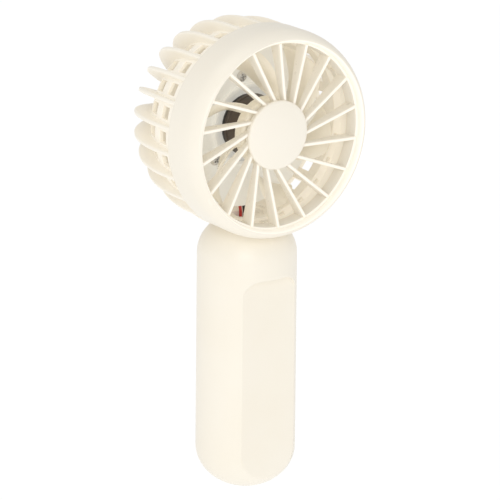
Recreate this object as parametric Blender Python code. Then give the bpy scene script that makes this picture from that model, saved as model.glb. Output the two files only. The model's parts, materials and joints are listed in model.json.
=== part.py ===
"""Handheld electric fan: a round finned head with a swirl grille on a capsule handle with a flat facet.

The origin is the middle of the small flat at the handle's base, +Z runs up the handle, the air leaves
towards -Y, and +X is the fan's left as its user holds it facing them. Lengths are metres.
"""
import math

import bmesh
import bpy

MM = 0.001

# Head: an axis along Y at HEAD_Z. A depth is measured backwards from the front-most plane.
HEAD_Z = 149.2
FRONT_Y = -24.4
FIN_COUNT = 25
FIN_START = 144.4
FIN_HALF = 1.1
SPOKE_COUNT = 18
SPOKE_START = 90.0
SPOKE_SWIRL = -21.0
BLADE_COUNT = 6
BLADE_START = 14.2
# Down a blade: (radius, sweep in degrees, half its width in degrees, front depth, rear depth, thickness).
BLADE_STATIONS = ((13.5, 0.0, 8.0, 10.0, 13.3, 1.6), (16.0, 3.9, 8.3, 10.2, 18.4, 1.9),
                  (19.0, 9.6, 9.3, 10.2, 20.8, 1.8), (25.0, 21.2, 11.5, 10.8, 21.1, 1.5),
                  (30.0, 30.9, 13.3, 11.5, 21.3, 1.2), (32.8, 36.3, 13.8, 12.2, 21.0, 1.0),
                  (33.9, 38.4, 11.5, 13.2, 20.4, 0.8))
POST_ANGLES = (99.0, 219.0, 339.0)
POST_RADIUS = 20.0
LEAD_RADIUS = 8.4
SHELL_CLEARANCE = 0.35
STATOR_TEETH = 6
STATOR_DEPTH = (15.2, 20.8)

# (depth, radius) of the smooth outside of the head, from the start of the fins to the opening's wall.
BAND_OUTSIDE = ((19.0, 42.37), (8.6, 42.6), (5.2, 42.3), (3.0, 41.6), (1.4, 40.75), (0.3, 39.8), (0.0, 39.3),
                (0.35, 38.6), (1.3, 38.15), (2.2, 38.0))
BAND_INSIDE = ((9.6, 38.0), (10.8, 40.6), (17.6, 40.6))
# (depth, radius) of the shell's floor between the fins, of its inside, and of the fins' outer edges.
FLOOR = ((20.2, 40.3), (24.2, 39.75), (29.6, 38.9), (34.8, 37.7), (41.2, 35.2), (44.0, 33.4), (47.0, 30.4),
         (49.8, 25.4), (51.6, 18.6), (56.0, 17.6), (60.9, 17.6))
INSIDE = ((20.2, 38.5), (24.2, 37.95), (29.6, 37.1), (34.8, 35.9), (41.2, 33.4), (44.0, 31.5), (46.6, 28.8),
          (49.2, 22.6), (50.2, 16.0), (58.3, 15.6))
FIN_EDGE = ((20.2, 42.35), (24.2, 42.35), (29.6, 42.3), (34.8, 41.75), (41.2, 40.55), (44.5, 39.6), (49.3, 37.6),
            (54.9, 33.8), (59.0, 28.0), (60.9, 20.4))
# The rows where windows open, and the angle between a fin and the nearest side of a window.
WINDOWS = (1, 3)
WINDOW_SIDE = 3.5
REAR_BOSS = ((61.3, 17.0), (61.3, 15.4), (60.1, 15.3))

# Handle: an axis along Z.
HANDLE_R = 20.0
DOME_H = 16.3
HANDLE_TOP = 112.8
WALL = 2.0
DECK_Z = 101.3
BASE_ANGLE = -76.0
FACET_Y = -15.4
FACET_HALF = 13.0
FACET_TOP = 89.5
FACET_CORNER = 8.0
SPIGOT_R = 9.7
SPIGOT_BORE_R = 7.0
SPIGOT_TOP = 112.2
SPIGOT_FOOT = 93.8
COVER_HALF = 12.6
COVER_Z = (17.0, 92.0)
COVER_GAP = 0.45
GAP = 0.3

# Inside the handle.
CELL_R = 9.1
CELL_LENGTH = 65.0
CELL_BASE_Z = 14.6
CELL_Y = -3.2
BOARD_Y = 9.2
BOARD_T = 1.0
BOARD_HALF = 10.5
BOARD_Z = (19.0, 87.0)
BOARD_SCREWS = ((-8.3, 24.0), (8.3, 24.0), (-8.3, 70.0), (8.3, 70.0))
BUTTON_Z = 74.0
BUTTON_R = 5.2
LENS_Z = 63.0
PORT_Z = 26.0

PALETTE = {
    "cream_shell": ((0.90, 0.85, 0.74, 1.0), 0.0, 0.42),
    "cream_grille": ((0.91, 0.86, 0.76, 1.0), 0.0, 0.38),
    "cream_cap": ((0.92, 0.88, 0.79, 1.0), 0.0, 0.35),
    "cream_handle": ((0.90, 0.85, 0.75, 1.0), 0.0, 0.45),
    "cream_impeller": ((0.86, 0.79, 0.66, 1.0), 0.0, 0.40),
    "grey_plate": ((0.72, 0.71, 0.67, 1.0), 0.0, 0.50),
    "black_plastic": ((0.03, 0.03, 0.03, 1.0), 0.0, 0.50),
    "black_steel": ((0.04, 0.04, 0.045, 1.0), 0.8, 0.35),
    "bright_steel": ((0.75, 0.75, 0.76, 1.0), 1.0, 0.25),
    "silicon_steel": ((0.50, 0.50, 0.52, 1.0), 1.0, 0.45),
    "ferrite": ((0.10, 0.10, 0.11, 1.0), 0.2, 0.60),
    "enamelled_copper": ((0.72, 0.32, 0.14, 1.0), 0.9, 0.30),
    "green_laminate": ((0.03, 0.24, 0.10, 1.0), 0.0, 0.40),
    "blue_wrap": ((0.08, 0.28, 0.62, 1.0), 0.0, 0.35),
    "nickel": ((0.70, 0.68, 0.62, 1.0), 1.0, 0.30),
    "clear_lens": ((0.92, 0.94, 0.92, 1.0), 0.0, 0.10),
    "white_nylon": ((0.85, 0.84, 0.80, 1.0), 0.0, 0.55),
    "red_pvc": ((0.70, 0.05, 0.04, 1.0), 0.0, 0.45),
    "black_pvc": ((0.02, 0.02, 0.02, 1.0), 0.0, 0.45),
    "grey_foam": ((0.25, 0.25, 0.26, 1.0), 0.0, 0.95),
}


def clear_scene():
    for obj in list(bpy.data.objects):
        bpy.data.objects.remove(obj)


def own_material(name, key):
    colour, metallic, roughness = PALETTE[key]
    material = bpy.data.materials.new(name)
    material.use_nodes = True
    shader = material.node_tree.nodes["Principled BSDF"]
    shader.inputs["Base Color"].default_value = colour
    shader.inputs["Metallic"].default_value = metallic
    shader.inputs["Roughness"].default_value = roughness
    return material


def add_mesh(name, verts, faces, key=None, origin=(0.0, 0.0, 0.0)):
    """An object from vertices in millimetres. Its origin is `origin`, also in millimetres."""
    mesh = bpy.data.meshes.new(name)
    local = [tuple((v[i] - origin[i]) * MM for i in range(3)) for v in verts]
    mesh.from_pydata(local, [], faces)
    bm = bmesh.new()
    bm.from_mesh(mesh)
    bmesh.ops.remove_doubles(bm, verts=bm.verts, dist=1e-7)
    bmesh.ops.recalc_face_normals(bm, faces=bm.faces)
    bm.to_mesh(mesh)
    bm.free()
    obj = bpy.data.objects.new(name, mesh)
    obj.location = tuple(c * MM for c in origin)
    bpy.context.scene.collection.objects.link(obj)
    if key:
        mesh.materials.append(own_material(name, key))
    return obj


def as_cutter(obj):
    obj.hide_render = True
    obj.display_type = "WIRE"
    return obj


def combine(obj, other, operation):
    modifier = obj.modifiers.new(operation.title() + "_" + other.name, "BOOLEAN")
    modifier.operation = operation
    modifier.solver = "EXACT"
    modifier.object = as_cutter(other)
    return obj


def cut(obj, other):
    return combine(obj, other, "DIFFERENCE")


def join(obj, other):
    return combine(obj, other, "UNION")


def place(axis, centre, along, across, up):
    """The world point of local coordinates about a Y or a Z axis."""
    if axis == "Y":
        return (centre[0] + across, centre[1] + along, centre[2] + up)
    return (centre[0] + across, centre[1] + up, centre[2] + along)


def gather(name, objects):
    """One helper mesh from several that don't touch, so that one Boolean takes them all."""
    verts = []
    faces = []
    for obj in objects:
        faces += [tuple(i + len(verts) for i in polygon.vertices) for polygon in obj.data.polygons]
        verts += [tuple(c / MM for c in obj.location + vertex.co) for vertex in obj.data.vertices]
        bpy.data.objects.remove(obj)
    return add_mesh(name, verts, faces)


def lathe(name, profile, key=None, axis="Z", centre=(0.0, 0.0, 0.0), segments=48, start=0.0):
    """A solid of revolution from a closed loop of (radius, along). Radius 0 closes on the axis."""
    verts = []
    faces = []
    rings = []
    for radius, along in profile:
        ring = []
        for k in range(segments if radius > 1e-6 else 1):
            angle = math.radians(start) + 2 * math.pi * k / segments
            ring.append(len(verts))
            verts.append(place(axis, centre, along, radius * math.cos(angle), radius * math.sin(angle)))
        rings.append(ring)
    for i, here in enumerate(rings):
        after = rings[(i + 1) % len(rings)]
        if len(here) == 1 and len(after) == 1:
            continue
        for k in range(segments):
            n = (k + 1) % segments
            corners = [here[k % len(here)], here[n % len(here)], after[n % len(after)], after[k % len(after)]]
            faces.append(tuple(dict.fromkeys(corners)))
    return add_mesh(name, verts, faces, key, centre)


def head_lathe(name, profile, key=None, segments=48, start=0.0):
    """A lathe about the head's axis, from a loop of (radius, depth)."""
    return lathe(name, profile, key, "Y", (0.0, FRONT_Y, HEAD_Z), segments, start)


def head_point(radius, angle, depth, aside=0.0):
    """A point at an angle in degrees from +X towards +Z, moved aside at right angles to its radius."""
    a = math.radians(angle)
    x = radius * math.cos(a) - aside * math.sin(a)
    z = radius * math.sin(a) + aside * math.cos(a)
    return (x, FRONT_Y + depth, HEAD_Z + z)


def prism(name, outline, low, high, key=None, axis="Z", origin=(0.0, 0.0, 0.0)):
    """A prism from an outline: (x, y) extruded in z, or (x, z) extruded in y, or (y, z) in x."""
    def point(u, v, w):
        return {"Z": (u, v, w), "Y": (u, w, v), "X": (w, u, v)}[axis]

    count = len(outline)
    verts = [point(u, v, w) for w in (low, high) for u, v in outline]
    faces = [tuple(range(count)), tuple(range(2 * count - 1, count - 1, -1))]
    for i in range(count):
        j = (i + 1) % count
        faces.append((i, j, count + j, count + i))
    return add_mesh(name, verts, faces, key, origin)


def box(name, low, high, key=None, origin=(0.0, 0.0, 0.0)):
    outline = [(low[0], low[1]), (high[0], low[1]), (high[0], high[1]), (low[0], high[1])]
    return prism(name, outline, low[2], high[2], key, "Z", origin)


def stadium(half_width, low, high, radius, steps=6):
    """A rectangle in (u, v) with rounded corners, as a list of points."""
    points = []
    corners = ((half_width - radius, high - radius, 0), (-half_width + radius, high - radius, 90),
               (-half_width + radius, low + radius, 180), (half_width - radius, low + radius, 270))
    for u, v, turn in corners:
        for k in range(steps + 1):
            angle = math.radians(turn + 90 * k / steps)
            points.append((u + radius * math.cos(angle), v + radius * math.sin(angle)))
    return points


def tube_path(name, path, radius, key, sides=8):
    """A round wire along a list of points."""
    verts = []
    faces = []
    count = len(path)
    for i, p in enumerate(path):
        before = path[max(i - 1, 0)]
        after = path[min(i + 1, count - 1)]
        d = [after[k] - before[k] for k in range(3)]
        size = math.sqrt(sum(c * c for c in d))
        d = [c / size for c in d]
        side = (1.0, 0.0, 0.0)
        u = [side[k] - d[k] * d[0] for k in range(3)]
        size = math.sqrt(sum(c * c for c in u))
        u = [c / size for c in u]
        v = [d[1] * u[2] - d[2] * u[1], d[2] * u[0] - d[0] * u[2], d[0] * u[1] - d[1] * u[0]]
        for k in range(sides):
            angle = 2 * math.pi * k / sides
            c = radius * math.cos(angle)
            s = radius * math.sin(angle)
            verts.append(tuple(p[j] + c * u[j] + s * v[j] for j in range(3)))
    for i in range(count - 1):
        for k in range(sides):
            n = (k + 1) % sides
            faces.append((i * sides + k, i * sides + n, (i + 1) * sides + n, (i + 1) * sides + k))
    faces.append(tuple(range(sides)))
    faces.append(tuple(range(count * sides - 1, (count - 1) * sides - 1, -1)))
    return add_mesh(name, verts, faces, key)


# The head

def shell_rows():
    """Rows of points round the head, each with six lines to a fin: foot, edge, edge, foot and a window's sides.

    They run from the mouth of the inside forwards over the band's outside, then down the fins and the
    floor to the rear boss, and back along the inside. Each point is a depth, a radius, an offset aside
    and an angle past its fin.
    """
    rows = []

    def add_row(depth, floor_r, edge=None):
        foot = math.sqrt(floor_r * floor_r - FIN_HALF * FIN_HALF)
        turn = max(WINDOW_SIDE, math.degrees(math.asin(FIN_HALF / floor_r)) + 1.0)
        feet = [(depth, foot, -FIN_HALF, 0.0), (depth, foot, FIN_HALF, 0.0)]
        edges = [(*edge, -FIN_HALF * 0.8, 0.0), (*edge, FIN_HALF * 0.8, 0.0)] if edge else feet
        sides = [(depth, floor_r, 0.0, turn), (depth, floor_r, 0.0, 360.0 / FIN_COUNT - turn)]
        rows.append([feet[0], *edges, feet[1], *sides])

    for depth, radius in (*reversed(BAND_INSIDE), *reversed(BAND_OUTSIDE)):
        add_row(depth, radius)
    first_fin = len(rows)
    for (depth, radius), edge in zip(FLOOR, FIN_EDGE):
        add_row(depth, radius, edge)
    for depth, radius in (FLOOR[-1], *REAR_BOSS):
        add_row(depth, radius)
    first_inside = len(rows)
    for depth, radius in INSIDE:
        add_row(depth, radius)
    return rows, first_fin, first_inside


def head_shell():
    """The band, bezel, finned rear dome and spigot: one moulding with two windows between each two fins."""
    rows, first_fin, first_inside = shell_rows()
    per_fin = len(rows[0])
    lines = FIN_COUNT * per_fin
    verts = []
    for row in rows:
        for fin in range(FIN_COUNT):
            angle = FIN_START + fin * 360.0 / FIN_COUNT
            verts += [head_point(radius, angle + turn, depth, aside) for depth, radius, aside, turn in row]

    def strip(a, b, has_windows):
        made = []
        for k in range(lines):
            if has_windows and k % per_fin == 4:
                continue
            n = (k + 1) % lines
            made.append((a * lines + k, a * lines + n, b * lines + n, b * lines + k))
        return made

    faces = []
    last_outside = first_inside - 1
    for i in range(last_outside):
        faces += strip(i, i + 1, i - first_fin in WINDOWS)
    for i in range(first_inside, len(rows) - 1):
        faces += strip(i, i + 1, i - first_inside in WINDOWS)
    faces += strip(first_inside, 0, False)
    for row in (last_outside, len(rows) - 1):
        faces.append(tuple(range(row * lines, (row + 1) * lines)))
    for window in WINDOWS:
        for fin in range(FIN_COUNT):
            outer = (first_fin + window) * lines + fin * per_fin + 4
            inner = (first_inside + window) * lines + fin * per_fin + 4
            for step in (0, lines):
                faces.append((outer + step, outer + step + 1, inner + step + 1, inner + step))
            for side in (0, 1):
                faces.append((outer + side, outer + lines + side, inner + lines + side, inner + side))
    shell = add_mesh("head_shell", verts, faces, "cream_shell", (0.0, FRONT_Y, HEAD_Z))
    spigot = ((0.0, SPIGOT_TOP), (SPIGOT_R, SPIGOT_TOP), (SPIGOT_R, SPIGOT_FOOT), (0.0, SPIGOT_FOOT))
    added = [post("post", angle, 3.0, 27.4, 50.6) for angle in POST_ANGLES]
    added.append(lathe("spigot", spigot, segments=32))
    join(shell, gather("shell_additions", added))
    bore = ((0.0, SPIGOT_TOP + 3.0), (SPIGOT_BORE_R, SPIGOT_TOP + 3.0), (SPIGOT_BORE_R, 90.0), (0.0, 90.0))
    removed = [post("post_bore", angle, 1.35, 26.0, 36.0) for angle in POST_ANGLES]
    removed.append(lathe("spigot_bore", bore, segments=32))
    return cut(shell, gather("shell_holes", removed))


def post(name, angle, radius, low, high, segments=16):
    """A cylinder parallel to the head's axis, on the circle of the plate's screws."""
    x, y, z = head_point(POST_RADIUS, angle, 0.0)
    return lathe(name, ((0.0, low), (radius, low), (radius, high), (0.0, high)), None, "Y", (x, y, z), segments)


def vane(angle):
    """Vertices and faces of one grille vane: a tapering plate with a narrow, rounded front edge."""
    outer = (37.3, angle)
    inner = (12.6, angle + SPOKE_SWIRL)
    ends = []
    for radius, turn in (outer, inner):
        a = math.radians(turn)
        ends.append((radius * math.cos(a), radius * math.sin(a)))
    dx = ends[1][0] - ends[0][0]
    dz = ends[1][1] - ends[0][1]
    size = math.hypot(dx, dz)
    nx = -dz / size
    nz = dx / size
    verts = []
    for (x, z), (front, rear) in zip(ends, ((2.4, 9.0), (4.95, 7.6))):
        for aside, depth in ((-0.35, front), (0.35, front), (0.75, front + 0.7), (0.6, rear),
                             (-0.6, rear), (-0.75, front + 0.7)):
            verts.append((x + nx * aside, FRONT_Y + depth, HEAD_Z + z + nz * aside))
    faces = [(0, 1, 2, 3, 4, 5), (11, 10, 9, 8, 7, 6)]
    for k in range(6):
        n = (k + 1) % 6
        faces.append((k, n, 6 + n, 6 + k))
    return verts, faces


def front_grille():
    """The ring that snaps into the head's opening, its swirl of vanes and the plate behind the hub cap."""
    ring = head_lathe("front_grille", ((37.6, 3.0), (37.6, 9.2), (36.8, 9.2), (36.9, 3.0)), "cream_grille", 54)
    plate = head_lathe("grille_plate", ((3.0, 4.9), (13.4, 4.9), (13.4, 6.9), (3.0, 6.9)), None, 36)
    verts = []
    faces = []
    for k in range(SPOKE_COUNT):
        more_verts, more_faces = vane(SPOKE_START + k * 360.0 / SPOKE_COUNT)
        faces += [tuple(i + len(verts) for i in face) for face in more_faces]
        verts += more_verts
    join(ring, add_mesh("grille_vanes", verts, faces))
    join(ring, plate)
    return join(ring, gather("grille_hooks", [grille_hook("grille_hook", a) for a in (30.0, 150.0, 270.0)]))


def grille_hook(name, angle):
    """A snap hook behind the ring, with a barb that catches the back of the opening's lip."""
    outline = ((36.8, 8.6), (37.55, 8.6), (37.55, 10.9), (39.1, 10.9), (38.0, 12.4), (36.8, 12.4))
    verts = [head_point(radius, angle, depth, aside) for aside in (-2.5, 2.5) for radius, depth in outline]
    faces = [tuple(range(6)), tuple(range(11, 5, -1))]
    for k in range(6):
        n = (k + 1) % 6
        faces.append((k, n, 6 + n, 6 + k))
    return add_mesh(name, verts, faces)


def hub_cap():
    profile = ((0.0, 1.7), (5.0, 1.82), (9.5, 2.35), (12.9, 3.1), (13.8, 3.5), (14.05, 4.0), (14.05, 4.5),
               (2.6, 4.5), (2.6, 6.6), (0.0, 6.6))
    return head_lathe("hub_cap", profile, "cream_cap", 36)


def rear_cap():
    profile = ((0.0, 60.4), (14.9, 60.4), (14.9, 61.0), (14.5, 61.3), (0.0, 61.3))
    return head_lathe("rear_cap", profile, "cream_cap", 36)


def blade(angle):
    """Vertices and faces of one swept impeller blade, widening and flattening from its root to its tip."""
    columns = 4
    verts = []
    for radius, sweep, half, front, rear, thick in BLADE_STATIONS:
        for side in (1.0, -1.0):
            for c in range(columns + 1):
                t = c / columns
                turn = angle + sweep - half + 2 * half * t
                camber = 1.4 * math.sin(math.pi * t)
                depth = front + (rear - front) * t - camber
                taper = 0.35 + 0.65 * math.sin(math.pi * min(max(t, 0.12), 0.88))
                verts.append(head_point(radius, turn, depth + side * taper * thick / 2))
    per = 2 * (columns + 1)
    faces = []
    for i in range(len(BLADE_STATIONS) - 1):
        base = i * per
        for c in range(columns):
            for row in (0, columns + 1):
                a = base + row + c
                faces.append((a, a + 1, a + 1 + per, a + per))
        for c in (0, columns):
            a = base + c
            b = base + columns + 1 + c
            faces.append((a, b, b + per, a + per))
    for base in (0, (len(BLADE_STATIONS) - 1) * per):
        for c in range(columns):
            a = base + c
            b = base + columns + 1 + c
            faces.append((a, a + 1, b + 1, b))
    return verts, faces


def impeller():
    """The hub cup over the motor's bell, with its blades."""
    cup = ((0.0, 8.3), (12.6, 8.3), (13.6, 8.7), (14.0, 9.5), (14.0, 13.7), (13.0, 13.7), (13.0, 9.5),
           (0.0, 9.5))
    hub = head_lathe("impeller", cup, "cream_impeller", 40)
    verts = []
    faces = []
    for k in range(BLADE_COUNT):
        more_verts, more_faces = blade(BLADE_START + k * 360.0 / BLADE_COUNT)
        faces += [tuple(i + len(verts) for i in face) for face in more_faces]
        verts += more_verts
    return join(hub, add_mesh("impeller_blades", verts, faces))


def rotor():
    bell = ((1.3, 9.8), (12.1, 9.8), (12.7, 10.4), (12.7, 23.2), (11.9, 23.2), (11.9, 11.0), (3.6, 11.0),
            (3.6, 12.6), (1.3, 12.6))
    head_lathe("rotor_bell", bell, "black_steel", 36)
    head_lathe("magnet_ring", ((11.6, 13.2), (11.6, 22.6), (10.4, 22.6), (10.4, 13.2)), "ferrite", 36)
    head_lathe("motor_shaft", ((0.0, 9.8), (1.0, 9.8), (1.0, 24.6), (0.0, 24.6)), "bright_steel", 16)


def bearings():
    for name, front in (("bearing_front", 14.0), ("bearing_rear", 19.6)):
        ring = ((1.3, front), (1.3, front + 2.3), (2.6, front + 2.3), (2.6, front))
        head_lathe(name, ring, "bright_steel", 16)


def motor_base():
    """The base that the motor stands on: a flange, and a tube for the bearings through the stator."""
    profile = ((4.0, 13.4), (4.0, 23.9), (12.4, 23.9), (12.4, 24.9), (2.9, 24.9), (2.9, 13.4))
    base = head_lathe("motor_base", profile, "black_plastic", 32)
    return cut(base, lead_hole("base_lead_hole"))


def stator_core():
    """A laminated core: a ring with T-shaped teeth, whose heads hold the coils in."""
    half_stem = 0.9
    half_tooth = ((5.6, math.asin(half_stem / 5.6)), (8.9, math.asin(half_stem / 8.9)), (8.9, 0.40), (9.8, 0.40),
                  (9.9, 0.13))
    tooth = [(radius, -turn) for radius, turn in half_tooth] + list(reversed(half_tooth))
    points = []
    for k in range(STATOR_TEETH):
        middle = 2 * math.pi * k / STATOR_TEETH
        for radius, turn in tooth:
            points.append((radius * math.cos(middle + turn), HEAD_Z + radius * math.sin(middle + turn)))
    low, high = (FRONT_Y + depth for depth in STATOR_DEPTH)
    core = prism("stator_core", points, low, high, "silicon_steel", "Y")
    hole = ((0.0, 14.0), (4.3, 14.0), (4.3, 22.0), (0.0, 22.0))
    return cut(core, head_lathe("stator_hole", hole, None, 24))


def stator_coils():
    """One coil round each tooth: a rectangular ring standing off the steel."""
    low, high = STATOR_DEPTH
    for k in range(STATOR_TEETH):
        angle = k * 360.0 / STATOR_TEETH
        verts = []
        for radius in (6.4, 8.2):
            for reach, stand in ((1.2, 0.3), (2.1, 1.2)):
                for aside, depth in ((-reach, low - stand), (reach, low - stand), (reach, high + stand),
                                     (-reach, high + stand)):
                    verts.append(head_point(radius, angle, depth, aside))
        faces = []
        for c in range(4):
            n = (c + 1) % 4
            faces += [(c, n, 4 + n, 4 + c), (8 + c, 8 + n, 12 + n, 12 + c), (c, n, 8 + n, 8 + c),
                      (4 + c, 4 + n, 12 + n, 12 + c)]
        add_mesh(f"stator_coil_{k + 1}", verts, faces, "enamelled_copper")


def driver_board():
    profile = ((4.4, 22.3), (4.4, 23.1), (9.9, 23.1), (9.9, 22.3))
    return head_lathe("driver_board", profile, "green_laminate", 28)


def motor_plate():
    """The disc that carries the motor, with a raised ring round the bell and three screw holes."""
    profile = ((2.6, 25.2), (14.9, 25.2), (14.9, 23.6), (16.6, 23.6), (16.6, 25.2), (34.0, 25.2), (34.0, 27.1),
               (2.6, 27.1))
    plate = head_lathe("motor_plate", profile, "grey_plate", 40)
    holes = [post("plate_hole", angle, 1.35, 24.0, 28.5, 12) for angle in POST_ANGLES]
    holes.append(lead_hole("lead_hole"))
    return cut(plate, gather("plate_holes", holes))


def lead_hole(name):
    """The cutter for the motor leads' way through the plate and the motor's base."""
    profile = ((0.0, 23.4), (1.9, 23.4), (1.9, 28.5), (0.0, 28.5))
    return lathe(name, profile, None, "Y", head_point(LEAD_RADIUS, 270.0, 0.0), 16)


def pan_screw(name, axis, centre, direction, head_r, head_h, shank_r, length, key="bright_steel"):
    """A pan-head screw with its head's seat at the centre and its shank along the direction (1 or -1)."""
    profile = ((0.0, -head_h), (head_r * 0.7, -head_h), (head_r, -head_h * 0.45), (head_r, 0.0), (shank_r, 0.0),
               (shank_r, length - 0.6), (0.0, length))
    turned = [(radius, direction * along) for radius, along in profile]
    return lathe(name, turned, key, axis, centre, 12)


def plate_screws():
    for index, angle in enumerate(POST_ANGLES):
        centre = head_point(POST_RADIUS, angle, 24.9)
        pan_screw(f"plate_screw_{index + 1}", "Y", centre, 1, 2.3, 1.3, 1.0, 9.5)


# The handle

def arc(centre_r, centre_z, radius_r, radius_z, start, stop, steps):
    """Points (radius, height) of an ellipse, between two angles in degrees."""
    points = []
    for k in range(steps + 1):
        angle = math.radians(start + (stop - start) * k / steps)
        points.append((centre_r + radius_r * math.cos(angle), centre_z + radius_z * math.sin(angle)))
    return points


def capsule_profile():
    """Half of the handle's section, from the middle of its small flat base to the top of its axis."""
    lower_dome = DOME_H / math.sin(math.radians(-BASE_ANGLE))
    points = [(0.0, 0.0)]
    points += arc(0.0, DOME_H, HANDLE_R, lower_dome, BASE_ANGLE, 0.0, 10)
    points += arc(0.0, HANDLE_TOP - DOME_H, HANDLE_R, DOME_H, 0.0, 78.0, 7)
    points.append((0.0, HANDLE_TOP))
    return points


def head_envelope(name, clearance, segments=50):
    """A solid that holds the head with some clearance, to cut the saddle in the handle's top."""
    outside = [(depth, radius + clearance) for depth, radius in BAND_OUTSIDE[:5]]
    fins = [(depth, radius + clearance) for depth, radius in FIN_EDGE[:-1]]
    profile = [(0.0, -1.0), (38.0, -1.0)]
    profile += [(radius, depth) for depth, radius in reversed(outside)]
    profile += [(radius, depth) for depth, radius in fins]
    profile.append((0.0, 61.6))
    return head_lathe(name, profile, None, segments)


def facet_cutter():
    """A block in front of the handle whose back face is the flat facet, which runs out in the lower dome."""
    outline = stadium(FACET_HALF, -30.0, FACET_TOP, FACET_CORNER, 7)
    return prism("facet_cutter", outline, -22.0, FACET_Y, None, "Y")


def handle_body():
    """The handle's moulding: a hollow capsule with a facet, a saddle for the head and an open back."""
    body = lathe("handle_body", capsule_profile(), "cream_handle", segments=48, start=360 / 96)
    cut(body, facet_cutter())
    cut(body, head_envelope("saddle", SHELL_CLEARANCE))
    cavity = [(0.0, 2.4), (5.0, 2.4)]
    cavity += arc(0.0, DOME_H, HANDLE_R - WALL, DOME_H - WALL - 0.1, -62.0, 0.0, 4)
    cavity += [(18.0, 92.0), (16.6, 98.0), (13.9, DECK_Z), (0.0, DECK_Z)]
    hollow = lathe("cavity", cavity, segments=36)
    cut(hollow, box("facet_backing", (-20.0, -24.0, 0.0), (20.0, FACET_Y + WALL, 110.0)))
    cut(body, hollow)
    hole = ((0.0, 90.0), (SPIGOT_R + GAP, 90.0), (SPIGOT_R + GAP, 115.0), (0.0, 115.0))
    cut(body, lathe("spigot_hole", hole, segments=32))
    opening = stadium(COVER_HALF + COVER_GAP, COVER_Z[0] - COVER_GAP, COVER_Z[1] + COVER_GAP, 6.0 + COVER_GAP, 5)
    cut(body, prism("cover_opening", opening, 10.0, 24.0, None, "Y"))
    return body


def rear_cover():
    """The long cover in the handle's back, with holes for the button, the lens and the charging port."""
    ring = [(HANDLE_R, COVER_Z[0] - 2), (HANDLE_R, COVER_Z[1] + 2), (HANDLE_R - WALL, COVER_Z[1] + 2),
            (HANDLE_R - WALL, COVER_Z[0] - 2)]
    cover = lathe("rear_cover", ring, "cream_handle", segments=48, start=360 / 96)
    outline = stadium(COVER_HALF, COVER_Z[0], COVER_Z[1], 6.0, 5)
    mask = prism("cover_mask", outline, 10.0, 24.0, None, "Y")
    combine(cover, mask, "INTERSECT")
    hooks = [cover_hook("cover_hook", sign, level) for sign in (-1, 1) for level in (30.0, 79.0)]
    join(cover, gather("cover_hooks", hooks))
    port = stadium(4.9, PORT_Z - 2.0, PORT_Z + 2.0, 1.9, 4)
    holes = [round_hole("button_hole", BUTTON_Z, BUTTON_R + GAP), round_hole("lens_hole", LENS_Z, 1.5 + GAP, 16),
             prism("port_hole", port, 10.0, 24.0, None, "Y")]
    return cut(cover, gather("cover_holes", holes))


def cover_hook(name, sign, level):
    """A snap hook under the cover's long edge, reaching behind the handle's wall."""
    outline = ((sign * 10.2, 15.6), (sign * 12.0, 13.9), (sign * 13.6, 10.4), (sign * 12.4, 9.9),
               (sign * 10.6, 12.6), (sign * 8.8, 15.6))
    return prism(name, outline, level - 3.0, level + 3.0, None, "Z")


def round_hole(name, z, radius, segments=28):
    centre = (0.0, 0.0, z)
    return lathe(name, ((0.0, 10.0), (radius, 10.0), (radius, 24.0), (0.0, 24.0)), None, "Y", centre, segments)


def power_button():
    """A round key, domed a little above the cover, with a flange behind it and a stem to the switch."""
    profile = ((0.0, 13.05), (1.2, 13.05), (1.2, 14.6), (6.4, 14.6), (6.4, 15.6), (BUTTON_R, 15.6),
               (BUTTON_R, 19.7), (BUTTON_R - 0.5, 20.2), (2.5, 20.5), (0.0, 20.6))
    return lathe("power_button", profile, "cream_cap", "Y", (0.0, 0.0, BUTTON_Z), 32)


def indicator_lens():
    profile = ((0.0, 12.4), (1.5, 12.4), (1.5, 19.3), (1.1, 19.7), (0.0, 19.8))
    return lathe("indicator_lens", profile, "clear_lens", "Y", (0.0, 0.0, LENS_Z), 18)


def neck_nut():
    """The ring nut that clamps the head's spigot under the handle's deck, with four wrench notches."""
    profile = ((SPIGOT_R + GAP, 94.6), (12.9, 94.6), (12.9, 98.4), (SPIGOT_R + GAP, 98.4))
    nut = lathe("neck_nut", profile, "white_nylon", segments=32)
    notches = []
    for angle in (45.0, 135.0, 225.0, 315.0):
        x = 13.2 * math.cos(math.radians(angle))
        y = 13.2 * math.sin(math.radians(angle))
        notches.append(box("nut_notch", (x - 1.1, y - 1.1, 94.0), (x + 1.1, y + 1.1, 99.0)))
    return cut(nut, gather("nut_notches", notches))


def neck_washer():
    profile = ((SPIGOT_R + GAP, 98.8), (12.9, 98.8), (12.9, 100.8), (SPIGOT_R + GAP, 100.8))
    return lathe("neck_washer", profile, "grey_foam", segments=32)


def battery():
    centre = (0.0, CELL_Y, CELL_BASE_Z)
    top = CELL_LENGTH
    profile = ((0.0, 0.0), (CELL_R - 0.6, 0.0), (CELL_R, 0.6), (CELL_R, top - 2.6), (CELL_R - 0.4, top - 2.2),
               (CELL_R - 0.4, top - 1.7), (CELL_R, top - 1.3), (CELL_R - 0.5, top - 0.6), (3.4, top - 0.6),
               (3.2, top), (0.0, top))
    lathe("battery_cell", profile, "blue_wrap", "Z", centre, 28)
    for name, z in (("nickel_strip_top", CELL_BASE_Z + top + 0.35), ("nickel_strip_bottom", CELL_BASE_Z - 0.65)):
        box(name, (-2.5, CELL_Y - 4.0, z), (2.5, 7.2, z + 0.3), "nickel")


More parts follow.
